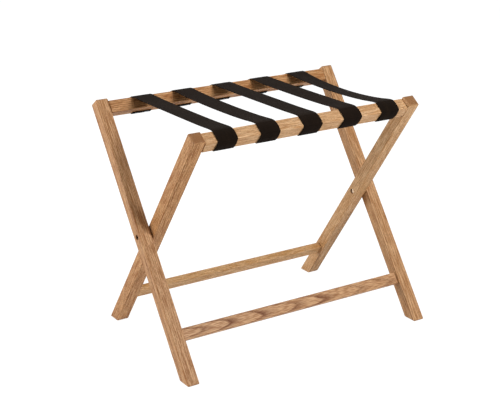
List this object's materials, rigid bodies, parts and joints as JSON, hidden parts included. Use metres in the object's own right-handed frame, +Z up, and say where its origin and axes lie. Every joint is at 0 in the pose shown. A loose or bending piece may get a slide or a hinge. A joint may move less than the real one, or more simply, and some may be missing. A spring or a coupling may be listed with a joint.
{
  "type": "folding luggage rack",
  "caption": "Folding hotel luggage rack: crossed wooden leg frames hinged on pivot bolts, with dark webbing straps stretched between the top rails to carry a suitcase.",
  "frame": {"origin": "on the floor, midway between the feet and below the pivot axis", "axes": "+X along the pivot axis towards the right end, +Y towards the rear, +Z up"},
  "size_m": [0.6, 0.3904, 0.5043],
  "materials": {
    "oak": "matt clear finish over open grain",
    "beech": "raw dowel rod",
    "webbing": "woven webbing",
    "bronze": "dark bronze plated, satin",
    "nylon": "matt",
    "staple_wire": "galvanised wire"
  },
  "bodies": {
    "outer_frame": {"outer_leg_left": "oak", "outer_leg_right": "oak", "rear_top_rail": "oak", "front_stretcher": "oak", "rear_top_rail_left_lower_dowel": "beech", "rear_top_rail_left_upper_dowel": "beech", "rear_top_rail_right_lower_dowel": "beech", "rear_top_rail_right_upper_dowel": "beech", "front_stretcher_left_lower_dowel": "beech", "front_stretcher_left_upper_dowel": "beech", "front_stretcher_right_lower_dowel": "beech", "front_stretcher_right_upper_dowel": "beech", "pivot_bolt_left": "bronze", "pivot_bolt_right": "bronze", "pivot_nut_left": "bronze", "pivot_nut_right": "bronze", "pivot_washer_left": "nylon", "pivot_washer_right": "nylon", "strap_1": "webbing", "strap_2": "webbing", "strap_3": "webbing", "strap_4": "webbing", "strap_5": "webbing", "rear_strap_1_left_staple": "staple_wire", "rear_strap_1_right_staple": "staple_wire", "rear_strap_2_left_staple": "staple_wire", "rear_strap_2_right_staple": "staple_wire", "rear_strap_3_left_staple": "staple_wire", "rear_strap_3_right_staple": "staple_wire", "rear_strap_4_left_staple": "staple_wire", "rear_strap_4_right_staple": "staple_wire", "rear_strap_5_left_staple": "staple_wire", "rear_strap_5_right_staple": "staple_wire"},
    "inner_frame": {"inner_leg_left": "oak", "inner_leg_right": "oak", "front_top_rail": "oak", "rear_stretcher": "oak", "front_top_rail_left_lower_dowel": "beech", "front_top_rail_left_upper_dowel": "beech", "front_top_rail_right_lower_dowel": "beech", "front_top_rail_right_upper_dowel": "beech", "rear_stretcher_left_lower_dowel": "beech", "rear_stretcher_left_upper_dowel": "beech", "rear_stretcher_right_lower_dowel": "beech", "rear_stretcher_right_upper_dowel": "beech", "front_strap_1_left_staple": "staple_wire", "front_strap_1_right_staple": "staple_wire", "front_strap_2_left_staple": "staple_wire", "front_strap_2_right_staple": "staple_wire", "front_strap_3_left_staple": "staple_wire", "front_strap_3_right_staple": "staple_wire", "front_strap_4_left_staple": "staple_wire", "front_strap_4_right_staple": "staple_wire", "front_strap_5_left_staple": "staple_wire", "front_strap_5_right_staple": "staple_wire"}
  },
  "joints": [
    {"name": "fold", "type": "hinge", "parent": "outer_frame", "child": "inner_frame", "pos_m": [0, 0, 0.253], "axis": [-1, 0, 0], "range_deg": [0, 64], "deforming": ["strap_1", "strap_2", "strap_3", "strap_4", "strap_5"]}
  ]
}
